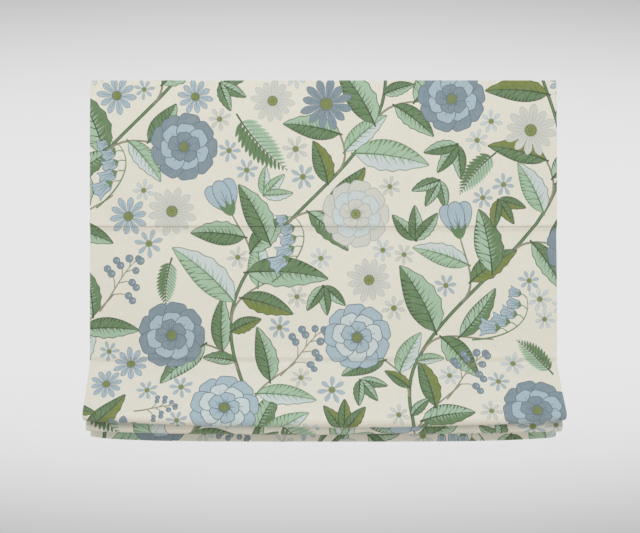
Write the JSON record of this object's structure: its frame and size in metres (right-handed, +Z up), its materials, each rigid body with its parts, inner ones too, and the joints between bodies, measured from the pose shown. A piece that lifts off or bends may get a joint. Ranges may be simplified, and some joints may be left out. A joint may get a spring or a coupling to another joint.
{
  "type": "roman blind",
  "caption": "Part-raised roman blind: printed, lined cloth in soft gathered folds under flat panels, hung by touch tape from an aluminium headrail with cord drums and a chain winder.",
  "frame": {"origin": "Middle of the centre bracket's two screw holes, on the wall plane", "axes": "+X to the viewer's right along the headrail, +Y into the wall, +Z up; the print faces -Y"},
  "size_m": [1.2, 0.1336, 0.92],
  "materials": {
    "face_cloth": "printed cotton and linen weave, matt",
    "lining": "plain cotton sateen, matt",
    "tape": "woven touch tape, matt",
    "pocket_tape": "woven tape, matt",
    "cord": "braided polyester, matt",
    "rail": "white powder coat, satin",
    "bar": "plain extruded",
    "bracket_steel": "zinc plated, satin",
    "spring_steel": "tempered, satin",
    "white_plastic": "moulded, satin",
    "gear_plastic": "moulded, satin",
    "ring_plastic": "clear moulded, glossy",
    "rod": "pultruded fibreglass, satin"
  },
  "bodies": {
    "headrail": {"headrail": "rail", "end_cap": "white_plastic", "bracket_left": "bracket_steel", "bracket_centre": "bracket_steel", "bracket_right": "bracket_steel", "bracket_clips": "spring_steel", "bracket_rivets": "spring_steel", "hook_tape": "tape", "loop_tape": "tape", "winder_case": "white_plastic", "winder_cover": "white_plastic", "brake_spring": "spring_steel", "cord_cradle_1": "white_plastic", "cord_cradle_2": "white_plastic", "cord_cradle_3": "white_plastic", "cord_cradle_4": "white_plastic", "lift_cord_1": "cord", "lift_cord_2": "cord", "lift_cord_3": "cord", "lift_cord_4": "cord", "face_cloth_upper": "face_cloth", "lining_upper": "lining"},
    "drive": {"drive_shaft": "bar", "idle_bush": "gear_plastic", "output_hub": "gear_plastic", "chain_wheel": "gear_plastic", "cord_drum_1": "gear_plastic", "cord_drum_2": "gear_plastic", "cord_drum_3": "gear_plastic", "cord_drum_4": "gear_plastic", "wound_cord": "cord"},
    "upper_rod": {"rod_1": "rod", "rod_pocket_1": "pocket_tape", "rod_caps_1": "white_plastic", "cord_rings_1": "ring_plastic", "face_cloth_middle": "face_cloth", "lining_middle": "lining"},
    "stack": {"rod_2": "rod", "rod_pocket_2": "pocket_tape", "rod_caps_2": "white_plastic", "cord_rings_2": "ring_plastic", "rod_3": "rod", "rod_pocket_3": "pocket_tape", "rod_caps_3": "white_plastic", "cord_rings_3": "ring_plastic", "rod_4": "rod", "rod_pocket_4": "pocket_tape", "rod_caps_4": "white_plastic", "cord_rings_4": "ring_plastic", "cord_stops": "white_plastic", "face_cloth_folds": "face_cloth", "lining_folds": "lining", "hem_bar": "bar", "hem_bar_caps": "white_plastic"}
  },
  "joints": [
    {"name": "rod_1_lift", "type": "slide", "parent": "headrail", "child": "upper_rod", "axis": [0, 0, 1], "range_m": [0, 0.328], "deforming": ["face_cloth_upper", "lining_upper"]},
    {"name": "stack_lift", "type": "slide", "parent": "upper_rod", "child": "stack", "axis": [0, 0, 1], "range_m": [0, 0.326], "deforming": ["face_cloth_middle", "lining_middle", "lift_cord_1", "lift_cord_2", "lift_cord_3", "lift_cord_4"]},
    {"name": "drive_spin", "type": "hinge", "parent": "headrail", "child": "drive", "pos_m": [0, -0.018, -0.0075], "axis": [-1, 0, 0], "range_deg": [0, 3863.03]}
  ],
  "couplings": [
    {"joint": "rod_1_lift", "follows": "stack_lift", "ratio": 1.0061},
    {"joint": "drive_spin", "follows": "stack_lift", "rad_per_m": 206.82}
  ]
}
